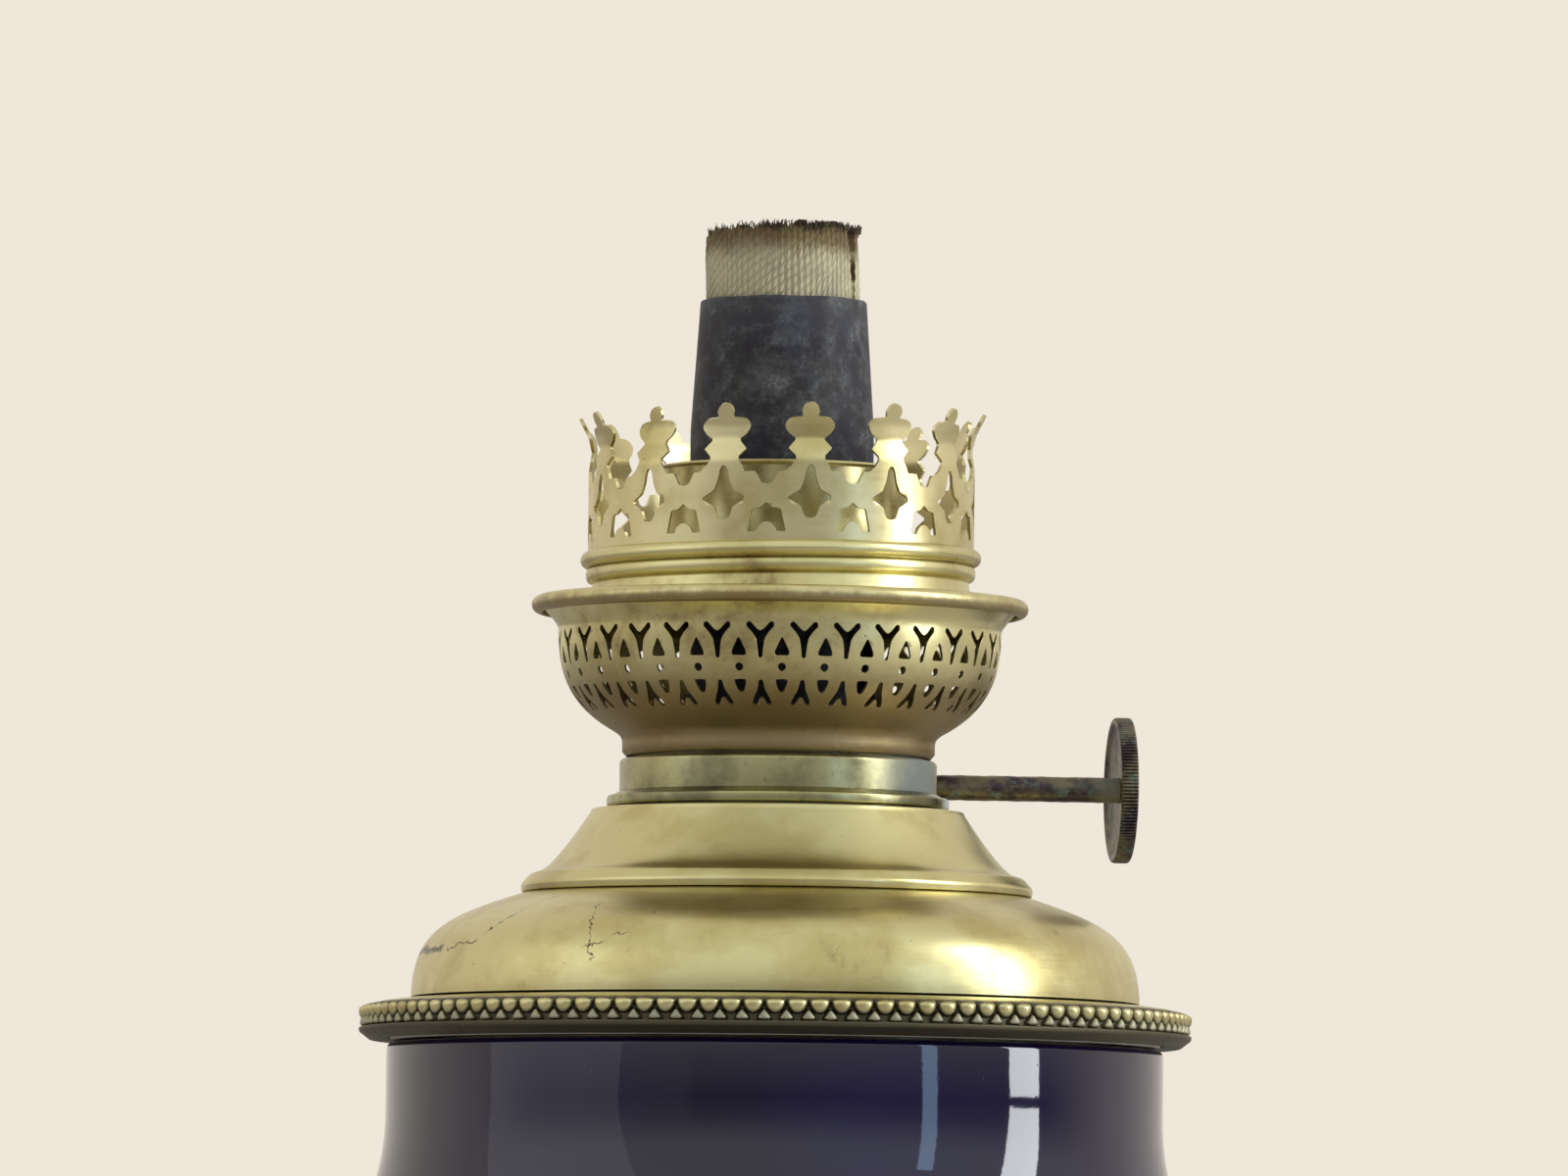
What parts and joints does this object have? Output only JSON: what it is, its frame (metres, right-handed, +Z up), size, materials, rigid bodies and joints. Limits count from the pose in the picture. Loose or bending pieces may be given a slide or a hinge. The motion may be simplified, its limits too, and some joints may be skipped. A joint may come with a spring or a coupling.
{
  "type": "kerosene lamp base",
  "caption": "Glazed table lamp base with brass foot, drop-in oil fount, side-winding round-wick burner, pierced gallery basket and pronged chimney crown.",
  "frame": {"origin": "middle of the foot's resting face", "axes": "+Z up the lamp, +X along the winder spindle towards the thumbwheel"},
  "size_m": [0.146, 0.146, 0.3036],
  "materials": {
    "aged_brass": "polished brass with an olive patina",
    "dull_brass": "dull greenish brass",
    "cobalt_glaze": "deep cobalt blue glazed ceramic, opaque",
    "burnt_metal": "heat-darkened metal with pale mottling",
    "oxidised_brass": "brown oxidised brass with verdigris",
    "woven_cotton": "woven cotton, charred at the top",
    "plaster": "matte plaster",
    "steel": "plain steel"
  },
  "bodies": {
    "base": {"brass_foot": "aged_brass", "foot_ring": "aged_brass", "tie_bolt": "steel", "tie_washer": "steel", "tie_nut": "steel", "ceramic_vase": "cobalt_glaze", "plaster_bed": "plaster", "beaded_ring": "aged_brass"},
    "fount": {"fount_bowl": "dull_brass", "fount_dome": "aged_brass", "fount_cap": "aged_brass", "fount_collar": "dull_brass"},
    "burner": {"burner_base": "dull_brass", "burner_drum": "dull_brass", "outer_wick_tube": "burnt_metal", "draught_tube": "burnt_metal", "draught_port": "burnt_metal", "spindle_bracket": "dull_brass"},
    "winder": {"winder_spindle": "oxidised_brass", "thumbwheel": "oxidised_brass", "wick_wheel_left": "oxidised_brass", "wick_wheel_right": "oxidised_brass"},
    "wick": {"wick": "woven_cotton"},
    "gallery": {"pierced_basket": "aged_brass", "crown_gallery": "aged_brass", "air_collar": "aged_brass"}
  },
  "joints": [
    {"name": "fount_lift", "type": "slide", "parent": "base", "child": "fount", "axis": [0, 0, 1], "range_m": [0, 0.12]},
    {"name": "burner_lift", "type": "slide", "parent": "fount", "child": "burner", "axis": [0, 0, 1], "range_m": [0, 0.125]},
    {"name": "gallery_lift", "type": "slide", "parent": "burner", "child": "gallery", "axis": [0, 0, 1], "range_m": [0, 0.08]},
    {"name": "winder_turn", "type": "hinge", "parent": "burner", "child": "winder", "pos_m": [0, 0.0149, 0.2261], "axis": [-1, 0, 0], "range_deg": [-175, 60]},
    {"name": "wick_slide", "type": "slide", "parent": "burner", "child": "wick", "axis": [0, 0, 1], "range_m": [-0.0118, 0.0042]}
  ],
  "couplings": [
    {"joint": "wick_slide", "follows": "winder_turn", "m_per_rad": 0.0038}
  ]
}
